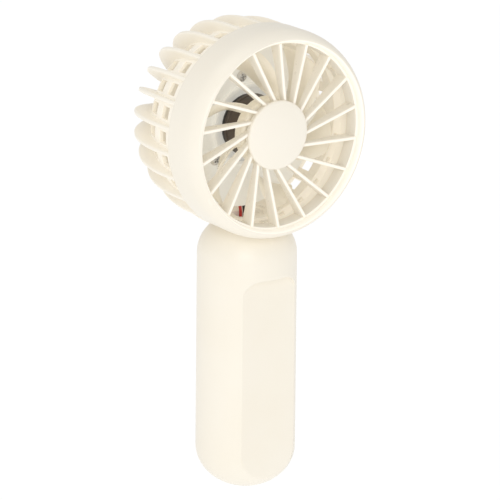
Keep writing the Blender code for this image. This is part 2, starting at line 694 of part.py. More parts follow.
def battery_cradle():
    """A trough behind the cell with end walls, which the circuit board is screwed to."""
    outer = []
    inner = []
    for k in range(9):
        angle = math.radians(10 + 160 * k / 8)
        outer.append((10.9 * math.cos(angle), CELL_Y + 10.9 * math.sin(angle)))
        inner.append((9.5 * math.cos(angle), CELL_Y + 9.5 * math.sin(angle)))
    outline = outer + inner[::-1]
    cradle = prism("battery_cradle", outline, 20.0, 76.0, "white_nylon")
    hole = ((0.0, 3.2), (1.0, 3.2), (1.0, 9.6), (0.0, 9.6))
    lugs = [box("lug", (x - 2.0, 4.6, z - 2.0), (x + 2.0, 8.8, z + 2.0)) for x, z in BOARD_SCREWS]
    join(cradle, gather("cradle_lugs", lugs))
    holes = [lathe("lug_hole", hole, None, "Y", (x, 0.0, z), 12) for x, z in BOARD_SCREWS]
    return cut(cradle, gather("lug_holes", holes))


def circuit_board():
    board = prism("circuit_board", stadium(BOARD_HALF, BOARD_Z[0], BOARD_Z[1], 1.5, 3), BOARD_Y, BOARD_Y + BOARD_T,
                  "green_laminate", "Y")
    hole = ((0.0, 8.0), (1.15, 8.0), (1.15, 11.5), (0.0, 11.5))
    holes = [lathe("board_hole", hole, None, "Y", (x, 0.0, z), 12) for x, z in BOARD_SCREWS]
    return cut(board, gather("board_holes", holes))


def board_screws():
    for index, (x, z) in enumerate(BOARD_SCREWS):
        centre = (x, BOARD_Y + BOARD_T + GAP, z)
        pan_screw(f"board_screw_{index + 1}", "Y", centre, -1, 1.6, 1.0, 0.7, 6.0)


def board_parts():
    """The switch, the charging port and the parts on the board's back and front."""
    top = BOARD_Y + BOARD_T + GAP
    switch = prism("tactile_switch", stadium(3.0, BUTTON_Z - 3.0, BUTTON_Z + 3.0, 0.5, 2), top, top + 1.6,
                   "black_plastic", "Y")
    well = ((0.0, 0.35), (1.9, 0.35), (1.9, 3.0), (0.0, 3.0))
    cut(switch, lathe("switch_well", well, None, "Y", (0.0, top, BUTTON_Z), 16))
    plunger = ((0.0, 1.05), (1.5, 1.05), (1.5, 2.2), (0.0, 2.2))
    lathe("switch_plunger", plunger, "white_nylon", "Y", (0.0, top, BUTTON_Z), 14)
    usb_port(top)
    box("charge_chip", (-3.0, top, 38.0), (3.0, top + 1.2, 43.0), "black_plastic")
    box("power_inductor", (-3.2, top, 49.0), (3.2, top + 2.6, 55.4), "ferrite")
    box("motor_connector", (-4.0, top, 79.4), (4.0, top + 3.4, 84.0), "white_nylon")
    box("indicator_led", (-0.8, top, LENS_Z - 0.8), (0.8, top + 0.7, LENS_Z + 0.8), "clear_lens")


def usb_port(top):
    """A charging socket standing on the board, its mouth flush in the cover."""
    low, high = top, 18.9
    outer = stadium(4.5, PORT_Z - 1.6, PORT_Z + 1.6, 1.5, 4)
    shell = prism("usb_shell", outer, low, high, "bright_steel", "Y")
    inner = stadium(4.15, PORT_Z - 1.25, PORT_Z + 1.25, 1.2, 4)
    cut(shell, prism("usb_hollow", inner, low + 1.0, high + 1.0, None, "Y"))
    box("usb_tongue", (-3.3, low + 1.3, PORT_Z - 0.35), (3.3, high - 1.2, PORT_Z + 0.35), "black_plastic")


def wires():
    """Motor and battery leads."""
    hole_z = HEAD_Z - LEAD_RADIUS
    for name, x, key in (("motor_lead_red", -0.9, "red_pvc"), ("motor_lead_black", 0.9, "black_pvc")):
        path = [(x, 12.4, 84.4), (x, 12.2, 87.2), (x, 10.6, 89.4), (x, 7.2, 91.0), (x, 4.6, 93.0), (x, 3.6, 97.0),
                (x, 3.4, 106.0), (x, 3.4, 112.5), (x, 4.8, 119.0), (x, 5.6, 128.0), (x, 5.6, hole_z - 2.4),
                (x, 4.6, hole_z - 0.5), (x, 2.6, hole_z), (x, -0.6, hole_z)]
        tube_path(name, path, 0.7, key, 6)
    for name, x, z, end, key in (("battery_lead_red", 5.0, CELL_BASE_Z + CELL_LENGTH + 1.6, 82.0, "red_pvc"),
                                 ("battery_lead_black", -5.0, CELL_BASE_Z + CELL_LENGTH + 1.6, 82.0, "black_pvc")):
        path = [(x, 0.0, z), (x, 4.0, z + 0.6), (x, 7.6, end + 1.5)]
        tube_path(name, path, 0.7, key, 6)


def build():
    clear_scene()
    head_shell()
    front_grille()
    hub_cap()
    rear_cap()
    impeller()
    rotor()
    bearings()
    motor_base()
    stator_core()
    stator_coils()
    driver_board()
    motor_plate()
    plate_screws()
    handle_body()
    rear_cover()
    power_button()
    indicator_lens()
    neck_nut()
    neck_washer()
    battery()
    battery_cradle()
    circuit_board()
    board_screws()
    board_parts()
    wires()


build()
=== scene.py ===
"""The looks of a handheld electric fan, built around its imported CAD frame.

Shapes are written in millimetres and made in metres. The head's axis runs along Y, and a depth is measured
backwards from the head's front-most plane. The handle's axis is Z.
"""
import json
import math

import bmesh
import bpy
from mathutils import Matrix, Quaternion, Vector


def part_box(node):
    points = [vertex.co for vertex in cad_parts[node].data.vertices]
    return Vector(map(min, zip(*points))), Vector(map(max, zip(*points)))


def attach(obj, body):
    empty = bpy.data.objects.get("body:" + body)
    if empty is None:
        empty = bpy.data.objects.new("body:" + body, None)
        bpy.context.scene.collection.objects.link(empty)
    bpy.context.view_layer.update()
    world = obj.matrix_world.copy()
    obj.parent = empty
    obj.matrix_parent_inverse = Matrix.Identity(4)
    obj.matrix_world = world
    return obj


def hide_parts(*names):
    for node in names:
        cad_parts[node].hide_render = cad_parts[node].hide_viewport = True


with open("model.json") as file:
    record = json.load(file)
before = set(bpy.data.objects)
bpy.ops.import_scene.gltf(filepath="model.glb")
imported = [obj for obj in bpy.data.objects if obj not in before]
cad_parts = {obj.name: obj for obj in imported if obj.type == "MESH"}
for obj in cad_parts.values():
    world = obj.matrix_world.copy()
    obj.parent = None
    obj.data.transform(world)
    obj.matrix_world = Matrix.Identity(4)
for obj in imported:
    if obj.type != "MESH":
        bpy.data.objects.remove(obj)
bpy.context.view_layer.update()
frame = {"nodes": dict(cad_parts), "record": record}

MM = 0.001
ORIGIN = (0.0, 0.0, 0.0)
# Points closer together than this, in metres, become one.
WELD = 2e-6


def box_mm(node):
    """The lowest and highest corner of a CAD node, in millimetres."""
    low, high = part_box(node)
    return low / MM, high / MM


def middle_z(node):
    """The height of a CAD node's middle, in millimetres."""
    low, high = box_mm(node)
    return (low.z + high.z) / 2


# Taken from the frame
SHELL_LOW, _ = box_mm("head_shell")
HANDLE_LOW, HANDLE_HIGH = box_mm("handle_body")
COVER_BOX_LOW, COVER_BOX_HIGH = box_mm("rear_cover")
FRONT_Y = SHELL_LOW.y
HEAD_Z = middle_z("hub_cap")
HANDLE_R = (HANDLE_HIGH.x - HANDLE_LOW.x) / 2
COVER_LOW = COVER_BOX_LOW.z
COVER_HIGH = COVER_BOX_HIGH.z
BUTTON_Z = middle_z("power_button")
LENS_Z = middle_z("indicator_lens")
PORT_Z = middle_z("usb_shell")

# The head. Angles are in degrees from +X towards +Z.
FIN_COUNT = 25
FIN_START = 144.4
FIN_STEP = 360.0 / FIN_COUNT
VANE_COUNT = 18
VANE_START = 90.0
VANE_STEP = 360.0 / VANE_COUNT
VANE_SWIRL = -21.0
BLADE_COUNT = 6
BLADE_START = 14.2
BLADE_STEP = 360.0 / BLADE_COUNT
POST_ANGLES = (99.0, 219.0, 339.0)
POST_RADIUS = 20.0
SCREW_HOLE_R = 1.35
HOOK_ANGLES = (30.0, 150.0, 270.0)
HOOK_HALF = 2.5
# From the middle of a fin to the windows on either side of it.
WINDOW_SIDE = 3.5

# (radius, depth) along the bezel, from its inner lip over the front to the band.
BEZEL = ((38.0, 3.2), (38.02, 2.2), (38.25, 1.2), (38.75, 0.4), (39.4, 0.1), (40.3, 0.75), (41.2, 2.1),
         (41.85, 3.6), (42.3, 5.2), (42.53, 7.0), (42.6, 9.0))
# (radius, depth) of the shell's floor and of its inside, behind the windows.
FLOOR = ((35.2, 41.2), (33.4, 44.0), (30.4, 47.0), (25.4, 49.8), (18.6, 51.6))
INSIDE = ((33.4, 41.2), (31.5, 44.0), (28.4, 46.8), (22.6, 49.2), (16.0, 50.2))
# (depth, outer radius, inner radius) of the floor beside the windows, which lie between the 2nd and 3rd and
# between the 4th and 5th depth.
CAGE = ((19.8, 40.35, 38.6), (24.2, 39.75, 37.95), (29.6, 38.9, 37.1), (34.8, 37.7, 35.9),
        (41.2, 35.2, 33.4), (43.0, 34.1, 32.3))
# (radius, depth) of a fin's outer edge and of its root in the floor.
FIN_EDGE = ((42.35, 18.0), (42.35, 20.2), (42.3, 26.3), (42.2, 30.2), (41.6, 36.2), (40.2, 43.0),
            (37.8, 49.2), (33.8, 55.0), (28.0, 59.0), (20.4, 60.9), (17.0, 60.9))
FIN_ROOT = ((39.4, 18.0), (39.2, 20.2), (38.6, 26.3), (37.9, 30.2), (36.3, 36.2), (33.9, 42.0),
            (30.1, 46.3), (24.0, 49.5), (17.3, 51.0), (16.6, 55.0), (16.4, 59.0))
# A fin's half thickness at its root and half way up, then (distance from the edge, half thickness).
FIN_ROOT_HALF = 1.12
FIN_MIDDLE_HALF = 1.02
FIN_TIP = ((0.85, 0.92), (0.45, 0.84), (0.17, 0.64), (0.03, 0.32))
# The vane's outer and inner end: radius, and depth of the front and rear edge.
VANE_ENDS = ((37.6, 2.5, 9.0), (12.4, 4.95, 7.6))
# (aside, behind the front edge) down one flank of a vane, which ends at the rear edge.
VANE_FLANK = ((-0.20, 0.0), (-0.42, 0.06), (-0.58, 0.22), (-0.68, 0.5), (-0.74, 1.2))
VANE_REAR_HALF = 0.60
# Radius, sweep and half width in degrees, depth of the front and rear edge, and thickness along a blade.
BLADE_STATIONS = ((13.5, 0.0, 8.0, 10.0, 13.3, 1.6), (16.0, 3.9, 8.3, 10.2, 18.4, 1.9),
                  (19.0, 9.6, 9.3, 10.2, 20.8, 1.8), (25.0, 21.2, 11.5, 10.8, 21.1, 1.5),
                  (30.0, 30.9, 13.3, 11.5, 21.3, 1.2), (32.8, 36.3, 13.8, 12.2, 21.0, 1.0),
                  (33.9, 38.4, 11.5, 13.2, 20.4, 0.7))
BLADE_CAMBER = 1.4

# The handle. Its two ends are domes of one height, cut off at these angles from their widest section.
DOME_H = 16.3
HANDLE_TOP = 112.8
BASE_ANGLE = -76.0
CROWN_ANGLE = 86.0
FACET_Y = -15.4
# Half the width of the facet's plane where it leaves the round wall.
CHORD_HALF = HANDLE_R * math.sin(math.acos(-FACET_Y / HANDLE_R))
FACET_HALF = 13.0
FACET_TOP = 89.5
FACET_CORNER = 8.0
WALL = 2.0
DECK_Z = 101.3
SPIGOT_R = 9.7
SPIGOT_BORE_R = 7.0
SPIGOT_GAP = 0.3
SADDLE_GAP = 0.35
COVER_HALF = 12.6
COVER_CORNER = 6.0
COVER_GAP = 0.45
BUTTON_HOLE_R = 5.5
LENS_HOLE_R = 1.8
PORT_HALF = (4.9, 2.0)
PORT_CORNER = 1.9
# The y range of every cut through the handle's back.
BACK_CUT = (10.0, 24.0)

# The two colours that several plastics share: their cream, and the colour of the painted glow that lightens
# their shaded parts
CREAM = (0.920, 0.868, 0.760)
PAINTED_GLOW_COLOUR = (0.96, 0.93, 0.88)

# The stage and the view, with places in metres
WORLD_STRENGTH = 0.72
GROUND_HALF = 4.0
GROUND_DROP = 0.0004
LIGHT_TARGET = (0.0, 0.0, 0.1)
# Name, place, size, power and colour of each light.
LIGHTS = (("key", (-1.35, -1.65, 0.78), (1.2, 1.5), 12.2, (1.0, 0.985, 0.96)),
          ("fill", (1.8, -0.8, 0.7), (0.9, 1.4), 0.6, (1.0, 0.99, 0.97)),
          ("top", (-0.65, 0.1, 1.85), (1.0, 1.0), 3.0, (1.0, 0.98, 0.95)))
VIEW_AZIMUTH = -35.2
VIEW_ELEVATION = 16.3
VIEW_DISTANCE = 3.2
VIEW_LENS = 578.5
VIEW_SENSOR = 36.0
VIEW_CLIP = (0.1, 20.0)
VIEW_ROLL = 0.54
VIEW_TARGET = (0.00099, -0.00071, 0.0970)


# Mesh helpers

def bake(obj):
    """Turns the object's modifiers into its mesh."""
    graph = bpy.context.evaluated_depsgraph_get()
    mesh = bpy.data.meshes.new_from_object(obj.evaluated_get(graph))
    obj.modifiers.clear()
    old = obj.data
    obj.data = mesh
    bpy.data.meshes.remove(old)
    return obj


def raw(name, verts, faces):
    """A mesh object from points in millimetres, with outward faces."""
    mesh = bpy.data.meshes.new(name)
    mesh.from_pydata([tuple(c * MM for c in v) for v in verts], [], faces)
    bm = bmesh.new()
    bm.from_mesh(mesh)
    bmesh.ops.remove_doubles(bm, verts=bm.verts, dist=WELD)
    bmesh.ops.recalc_face_normals(bm, faces=bm.faces)
    bm.to_mesh(mesh)
    bm.free()
    obj = bpy.data.objects.new(name, mesh)
    bpy.context.scene.collection.objects.link(obj)
    return obj


def dress(obj, material, body="handle", stands_for=(), sharp=35.0):
    """Smooth shading with crisp edges, a material and the piece's body, and hides the CAD nodes that it
    stands for.
    """
    mesh = obj.data
    mesh.materials.clear()
    mesh.materials.append(material)
    for polygon in mesh.polygons:
        polygon.use_smooth = True
        polygon.material_index = 0
    mesh.set_sharp_from_angle(angle=math.radians(sharp))
    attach(obj, body)
    if stands_for:
        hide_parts(*stands_for)
    return obj


def bevel(obj, width, angle):
    """Rounds the edges sharper than the angle with two segments."""
    modifier = obj.modifiers.new("edge_rounding", "BEVEL")
    modifier.width = width * MM
    modifier.segments = 2
    modifier.limit_method = "ANGLE"
    modifier.angle_limit = math.radians(angle)
    modifier.use_clamp_overlap = True
    return obj


def boolean(obj, other, operation="DIFFERENCE"):
    """Applies a Boolean at once and removes the helper."""
    modifier = obj.modifiers.new(operation, "BOOLEAN")
    modifier.operation = operation
    modifier.solver = "EXACT"
    modifier.object = other
    bake(obj)
    bpy.data.objects.remove(other)
    return obj


def spline(points, per):
    """A Catmull-Rom curve through the points, with so many steps from each to the next."""
    out = []
    count = len(points)
    for i in range(count - 1):
        a = points[max(i - 1, 0)]
        b = points[i]
        c = points[i + 1]
        d = points[min(i + 2, count - 1)]
        for k in range(per):
            t = k / per
            out.append(tuple(
                0.5 * (2 * b[j] + (c[j] - a[j]) * t + (2 * a[j] - 5 * b[j] + 4 * c[j] - d[j]) * t * t
                       + (3 * b[j] - a[j] - 3 * c[j] + d[j]) * t ** 3)
                for j in range(len(b))))
    out.append(tuple(points[-1]))
    return out


def fillet(loop):
    """A closed loop of (u, v) or (u, v, radius), with each radius rounded by a short curve."""
    steps = 4
    share = 0.45
    out = []
    count = len(loop)
    for i, corner in enumerate(loop):
        if len(corner) == 2 or corner[2] <= 0:
            out.append((corner[0], corner[1]))
            continue
        here = Vector(corner[:2])
        before = Vector(loop[i - 1][:2]) - here
        after = Vector(loop[(i + 1) % count][:2]) - here
        reach = min(corner[2], before.length * share, after.length * share)
        start = here + before.normalized() * reach
        stop = here + after.normalized() * reach
        for k in range(steps + 1):
            t = k / steps
            p = start * (1 - t) ** 2 + here * 2 * t * (1 - t) + stop * t * t
            out.append((p.x, p.y))
    return out


def lathe(name, loop, axis, centre, segments):
    """A solid of revolution about Y or Z from a closed loop of (radius, distance along the axis)."""
    verts = []
    faces = []
    rings = []
    for radius, along in loop:
        ring = []
        for k in range(segments if radius > 0.0 else 1):
            a = 2 * math.pi * k / segments
            u = radius * math.cos(a)
            v = radius * math.sin(a)
            ring.append(len(verts))
            if axis == "Y":
                verts.append((centre[0] + u, centre[1] + along, centre[2] + v))
            else:
                verts.append((centre[0] + u, centre[1] + v, centre[2] + along))
        rings.append(ring)
    for i, here in enumerate(rings):
        after = rings[(i + 1) % len(rings)]
        if len(here) == 1 and len(after) == 1:
            continue
        for k in range(segments):
            n = (k + 1) % segments
            near = (here[k % len(here)], here[n % len(here)])
            far = (after[n % len(after)], after[k % len(after)])
            faces.append(tuple(dict.fromkeys(near + far)))
    return raw(name, verts, faces)


def head_lathe(name, loop, segments):
    """A solid of revolution about the head's axis from a closed loop of (radius, depth)."""
    return lathe(name, loop, "Y", (0.0, FRONT_Y, HEAD_Z), segments)


def head_point(radius, angle, depth, aside=0.0):
    """A point at an angle in degrees from +X towards +Z, moved aside at right angles to its radius."""
    a = math.radians(angle)
    x = radius * math.cos(a) - aside * math.sin(a)
    z = radius * math.sin(a) + aside * math.cos(a)
    return (x, FRONT_Y + depth, HEAD_Z + z)


def loft(rings):
    """Vertices and faces of a closed body through rings of equally many points."""
    verts = [p for ring in rings for p in ring]
    count = len(rings[0])
    faces = []
    for i in range(len(rings) - 1):
        for k in range(count):
            n = (k + 1) % count
            faces.append((i * count + k, i * count + n, (i + 1) * count + n, (i + 1) * count + k))
    faces.append(tuple(range(count)))
    last = (len(rings) - 1) * count
    faces.append(tuple(range(last + count - 1, last - 1, -1)))
    return verts, faces


def many(name, parts):
    """One mesh object from several (vertices, faces)."""
    verts = []
    faces = []
    for more_verts, more_faces in parts:
        faces += [tuple(i + len(verts) for i in face) for face in more_faces]
        verts += more_verts
    return raw(name, verts, faces)


def prism(name, outline, low, high):
    """A prism from an (x, z) outline extruded in y."""
    return raw(name, *loft([[(x, y, z) for x, z in outline] for y in (low, high)]))


def rounded(half_width, low, high, radius, steps=10):
    """An (x, z) rectangle with round corners."""
    points = []
    side = half_width - radius
    corners = ((side, high - radius, 0), (-side, high - radius, 90),
               (-side, low + radius, 180), (side, low + radius, 270))
    for u, v, turn in corners:
        for k in range(steps + 1):
            a = math.radians(turn + 90 * k / steps)
            points.append((u + radius * math.cos(a), v + radius * math.sin(a)))
    return points


# Materials

class Tree:
    """A small wrapper that adds nodes and links them by name."""

    def __init__(self, name):
        self.material = bpy.data.materials.new(name)
        self.material.use_nodes = True
        self.nodes = self.material.node_tree.nodes
        self.links = self.material.node_tree.links
        self.shader = self.nodes["Principled BSDF"]
        self.place = self.nodes.new("ShaderNodeTexCoord").outputs["Object"]

    def noise(self, scale, detail=2.0, rough=0.5, source=None):
        """Noise over the object's own coordinates or over a stretched copy of them."""
        node = self.nodes.new("ShaderNodeTexNoise")
        node.inputs["Scale"].default_value = scale
        node.inputs["Detail"].default_value = detail
        node.inputs["Roughness"].default_value = rough
        self.links.new(source or self.place, node.inputs["Vector"])
        return node.outputs["Fac"]

    def remap(self, value, low, high, to_low, to_high):
        """The value moved from one range to another and held inside it."""
        node = self.nodes.new("ShaderNodeMapRange")
        node.inputs["From Min"].default_value = low
        node.inputs["From Max"].default_value = high
        node.inputs["To Min"].default_value = to_low
        node.inputs["To Max"].default_value = to_high
        self.links.new(value, node.inputs["Value"])
        return node.outputs["Result"]

    def math(self, operation, a, b):
        """A sum on two numbers or links."""
        node = self.nodes.new("ShaderNodeMath")
        node.operation = operation
        for socket, value in zip(node.inputs, (a, b)):
            if isinstance(value, float):
                socket.default_value = value
            else:
                self.links.new(value, socket)
        return node.outputs["Value"]

    def mix(self, factor, first, second):
        """A blend of two colours or links."""
        node = self.nodes.new("ShaderNodeMix")
        node.data_type = "RGBA"
        self.links.new(factor, node.inputs["Factor"])
        colours = [socket for socket in node.inputs if socket.type == "RGBA"]
        for socket, value in zip(colours, (first, second)):
            if isinstance(value, tuple):
                socket.default_value = (*value, 1.0)
            else:
                self.links.new(value, socket)
        return next(socket for socket in node.outputs if socket.type == "RGBA")

    def stretch(self, x, y, z):
        """The object's coordinates scaled along each axis."""
        node = self.nodes.new("ShaderNodeMapping")
        node.inputs["Scale"].default_value = (x, y, z)
        self.links.new(self.place, node.inputs["Vector"])
        return node.outputs["Vector"]

    def vector(self, operation, a, b):
        """The node of a sum on two vectors or links."""
        node = self.nodes.new("ShaderNodeVectorMath")
        node.operation = operation
        for socket, value in zip(node.inputs, (a, b)):
            if isinstance(value, tuple):
                socket.default_value = value
            else:
                self.links.new(value, socket)
        return node

    def inward(self):
        """1 where a face looks at the head's axis, and 0 on the head's outside and front."""
        spoke = self.vector("SUBTRACT", self.place, (0.0, 0.0, HEAD_Z * MM)).outputs["Vector"]
        spoke = self.vector("MULTIPLY", spoke, (1.0, 0.0, 1.0)).outputs["Vector"]
        normal = self.nodes.new("ShaderNodeNewGeometry").outputs["Normal"]
        out = self.vector("DOT_PRODUCT", spoke, normal).outputs["Value"]
        return self.remap(out, -0.004, -0.012, 0.0, 1.0)

    def forward(self):
        """1 where a face looks out of the front of the head."""
        parts = self.nodes.new("ShaderNodeSeparateXYZ")
        self.links.new(self.nodes.new("ShaderNodeNewGeometry").outputs["Normal"], parts.inputs["Vector"])
        return self.remap(parts.outputs["Y"], -0.25, -0.75, 0.0, 1.0)

    def pointiness(self):
        """About 0.5 on flat faces and more on outward edges."""
        return self.nodes.new("ShaderNodeNewGeometry").outputs["Pointiness"]

    def bump(self, height, strength, distance):
        """Small relief from a height that runs from 0 to 1."""
        node = self.nodes.new("ShaderNodeBump")
        node.inputs["Strength"].default_value = strength
        node.inputs["Distance"].default_value = distance
        self.links.new(height, node.inputs["Height"])
        self.links.new(node.outputs["Normal"], self.shader.inputs["Normal"])

    def set(self, name, value):
        """Gives a shader input a number, a colour or a link."""
        if isinstance(value, bpy.types.NodeSocket):
            self.links.new(value, self.shader.inputs[name])
        elif isinstance(value, tuple):
            self.shader.inputs[name].default_value = (*value, 1.0)
        else:
            self.shader.inputs[name].default_value = value


def moulded(name, colour, roughness, grain=0.5, tint=0.03, wear=0.5):
    """Moulded plastic: fine spark-eroded grain, faint flow mottling, and edges rubbed a little smoother."""
    tree = Tree(name)
    broad = tree.noise(38.0, 3.0)
    cloudy = tree.remap(broad, 0.3, 0.7, 0.0, 1.0)
    deeper = tuple(c * (1.0 - tint * k) for c, k in zip(colour, (0.5, 0.8, 1.4)))
    body = tree.mix(cloudy, deeper, colour)
    rubbed = tree.remap(tree.pointiness(), 0.51, 0.56, 0.0, wear)
    paler = tuple(min(1.0, c * 1.03) for c in colour)
    tree.set("Base Color", tree.mix(rubbed, body, paler))
    fine = tree.noise(5200.0, 2.0, 0.6)
    patchy = tree.noise(420.0, 3.0)
    rough = tree.remap(patchy, 0.3, 0.7, roughness - 0.04, roughness + 0.05)
    tree.set("Roughness", tree.math("SUBTRACT", rough, tree.math("MULTIPLY", rubbed, 0.08)))
    tree.bump(fine, 0.12 * grain, 0.00008)
    tree.set("IOR", 1.58)
    return tree


def add_painted_glow(tree, colour, strength, where=None):
    """Paints light on: an emission glow, all over or as strong as a mask says, which brightens plastic that
    the lamps leave in shade.
    """
    tree.set("Emission Color", colour)
    tree.set("Emission Strength", tree.math("MULTIPLY", where, strength) if where else strength)
    return tree.material


def metal(name, colour, roughness, stretch=(1.0, 1.0, 1.0), metallic=1.0):
    """Drawn or turned metal: long fine scratches, cloudy roughness and slightly darker patches."""
    tree = Tree(name)
    scratches = tree.noise(9000.0, 3.0, 0.6, tree.stretch(*stretch))
    clouds = tree.noise(260.0, 3.0)
    dull = tuple(c * 0.8 for c in colour)
    tree.set("Base Color", tree.mix(tree.remap(clouds, 0.35, 0.7, 0.0, 1.0), colour, dull))
    tree.set("Metallic", metallic)
    tree.set("Roughness", tree.remap(scratches, 0.3, 0.7, roughness * 0.75, roughness * 1.35))
    tree.bump(scratches, 0.15, 0.00003)
    return tree.material


def speckled(name, colour, other, scale, roughness, bump=0.3):
    """A two-tone granular surface, for foam, ferrite, laminate and shrink wrap."""
    tree = Tree(name)
    grains = tree.noise(scale, 4.0, 0.7)
    tree.set("Base Color", tree.mix(tree.remap(grains, 0.4, 0.6, 0.0, 1.0), colour, other))
    tree.set("Roughness", tree.remap(grains, 0.3, 0.7, roughness * 0.85, min(1.0, roughness * 1.15)))
    tree.bump(grains, bump, 0.0001)
    return tree.material


def wound(name, colour):
    """Turns of enamelled wire: fine ridges across the coil."""
    tree = Tree(name)
    wave = tree.nodes.new("ShaderNodeTexWave")
    wave.bands_direction = "DIAGONAL"
    wave.inputs["Scale"].default_value = 1200.0
    wave.inputs["Distortion"].default_value = 1.5
    tree.links.new(tree.place, wave.inputs["Vector"])
    dark = tuple(c * 0.45 for c in colour)
    tree.set("Base Color", tree.mix(wave.outputs["Fac"], dark, colour))
    tree.set("Metallic", 0.8)
    tree.set("Roughness", tree.remap(tree.noise(900.0), 0.3, 0.7, 0.22, 0.4))
    tree.bump(wave.outputs["Fac"], 0.5, 0.0001)
    return tree.material


def band_material():
    """Cream plastic with painted light: an emission glow on its inner side only, which brightens the shaded
    inside of the head.
    """
    tree = moulded("band_cream", CREAM, 0.36)
    return add_painted_glow(tree, PAINTED_GLOW_COLOUR, 0.19, tree.inward())


def dome_material():
    """Cream plastic with painted light: an emission glow all over, a little weaker on its inner side, which
    pales the shaded floor between the fins.
    """
    tree = moulded("dome_cream", CREAM, 0.36)
    return add_painted_glow(tree, PAINTED_GLOW_COLOUR, 0.105, tree.remap(tree.inward(), 0.0, 1.0, 1.0, 0.8))


def grille_material():
    """Slightly paler plastic with painted light: an emission glow on its forward-facing faces, which
    brightens the vanes' front edges.
    """
    tree = moulded("grille_cream", (0.915, 0.868, 0.770), 0.34)
    return add_painted_glow(tree, PAINTED_GLOW_COLOUR, 0.13, tree.forward())


BAND = band_material()
DOME = dome_material()
# Painted light: the fins glow a little, which pales them where the lamps leave them in shade.
FINS = add_painted_glow(moulded("fin_cream", CREAM, 0.36), PAINTED_GLOW_COLOUR, 0.045)
GRILLE = grille_material()
CAP = moulded("cap_cream", (0.935, 0.885, 0.785), 0.34, 0.15, wear=0.0).material
HANDLE = moulded("handle_cream", CREAM, 0.38).material
# Painted light: the impeller glows faintly, which brightens its blades in the shade inside the head.
IMPELLER = add_painted_glow(moulded("impeller_cream", (0.90, 0.845, 0.72), 0.38, 0.4), (0.95, 0.86, 0.70), 0.06)
# Painted light: the plate glows in its own grey, so that it looks lit behind the blades where the lamps
# reach it only weakly.
PLATE = add_painted_glow(moulded("plate_grey", (0.70, 0.69, 0.64), 0.48, 1.2, 0.04), (0.70, 0.69, 0.65), 0.37)
BLACK = moulded("moulded_black", (0.035, 0.033, 0.03), 0.45, 0.8, 0.1).material
BELL = metal("bell_black", (0.11, 0.085, 0.065), 0.38, (1.0, 30.0, 1.0), 0.6)
STEEL = metal("steel_bright", (0.78, 0.77, 0.75), 0.4, metallic=0.45)
CORE = metal("core_steel", (0.5, 0.5, 0.52), 0.42, (1.0, 40.0, 1.0))
FERRITE = speckled("ferrite_dark", (0.06, 0.06, 0.065), (0.11, 0.11, 0.12), 2600.0, 0.62)
COPPER = wound("copper_wound", (0.72, 0.34, 0.16))
BOARD = speckled("board_green", (0.02, 0.19, 0.07), (0.03, 0.25, 0.10), 900.0, 0.35, 0.1)
WRAP = speckled("wrap_blue", (0.06, 0.22, 0.52), (0.08, 0.27, 0.6), 160.0, 0.3, 0.08)
NICKEL = metal("nickel_strip", (0.70, 0.67, 0.60), 0.3, (1.0, 20.0, 1.0))
LENS = moulded("lens_frosted", (0.86, 0.90, 0.88), 0.22, 0.2).material
NYLON = moulded("nylon_white", (0.80, 0.79, 0.74), 0.5, 0.7).material
RED_WIRE = moulded("wire_red", (0.55, 0.03, 0.025), 0.42, 0.5, 0.08).material
BLACK_WIRE = moulded("wire_black", (0.05, 0.05, 0.05), 0.42, 0.5, 0.08).material
FOAM = speckled("foam_grey", (0.10, 0.10, 0.105), (0.22, 0.22, 0.225), 3800.0, 0.95, 1.0)

# The slots of the CAD nodes that still show
SLOT_MATERIALS = {
    "black_plastic": BLACK, "steel": STEEL, "core_steel": CORE, "ferrite": FERRITE, "copper": COPPER,
    "board": BOARD, "cell_wrap": WRAP, "nickel": NICKEL, "lens": LENS, "nylon": NYLON,
    "red_pvc": RED_WIRE, "black_pvc": BLACK_WIRE, "foam": FOAM,
}


# The head

def head_band():
    """The smooth band with the rounded bezel before it and the step behind it."""
    back = fillet((BEZEL[-1], (42.37, 19.0, 0.35), (40.3, 20.2, 0.3), (38.5, 20.2, 0.2), (40.6, 17.6),
                   (40.6, 10.8), (38.0, 9.6)))
    loop = spline(BEZEL, 5) + back[1:]
    return dress(head_lathe("head_band", loop, 256), BAND, stands_for=("head_shell",))


def shell_cage():
    """The floor round the windows: a collar, a hoop between the two rows, and a rib under each fin."""
    for name, (front, rear) in (("shell_collar", CAGE[0:2]), ("shell_hoop", CAGE[2:4])):
        loop = fillet(((front[1], front[0], 0.25), (rear[1], rear[0], 0.25), (rear[2], rear[0], 0.25),
                       (front[2], front[0], 0.25)))
        dress(head_lathe(name, loop, 256), DOME, stands_for=("head_shell",))
    ribs = []
    inset = 0.03
    for k in range(FIN_COUNT):
        angle = FIN_START + k * FIN_STEP
        turns = [angle + WINDOW_SIDE * step / 2 for step in range(-2, 3)]
        rings = []
        for depth, outer, inner in spline(CAGE, 3):
            ring = [head_point(outer - inset, turn, depth) for turn in turns]
            rings.append(ring + [head_point(inner + inset, turn, depth) for turn in reversed(turns)])
        ribs.append(loft(rings))
    dress(many("shell_ribs", ribs), DOME, stands_for=("head_shell",), sharp=40.0)


def shell_dome():
    """The floor between the fins, and the boss in the middle of the back."""
    outside = spline(FLOOR, 6)
    inside = spline(INSIDE, 6)[::-1]
    boss = fillet((FLOOR[-1], (17.6, 52.6, 0.6), (17.6, 60.9, 0.25), (17.1, 61.3, 0.3), (15.5, 61.3, 0.3),
                   (15.3, 60.1, 0.2), (0.0, 60.1)))
    loop = outside + boss[1:] + [(0.0, 58.3), (15.6, 58.3)] + inside
    return dress(head_lathe("shell_dome", loop, 200), DOME, stands_for=("head_shell",))


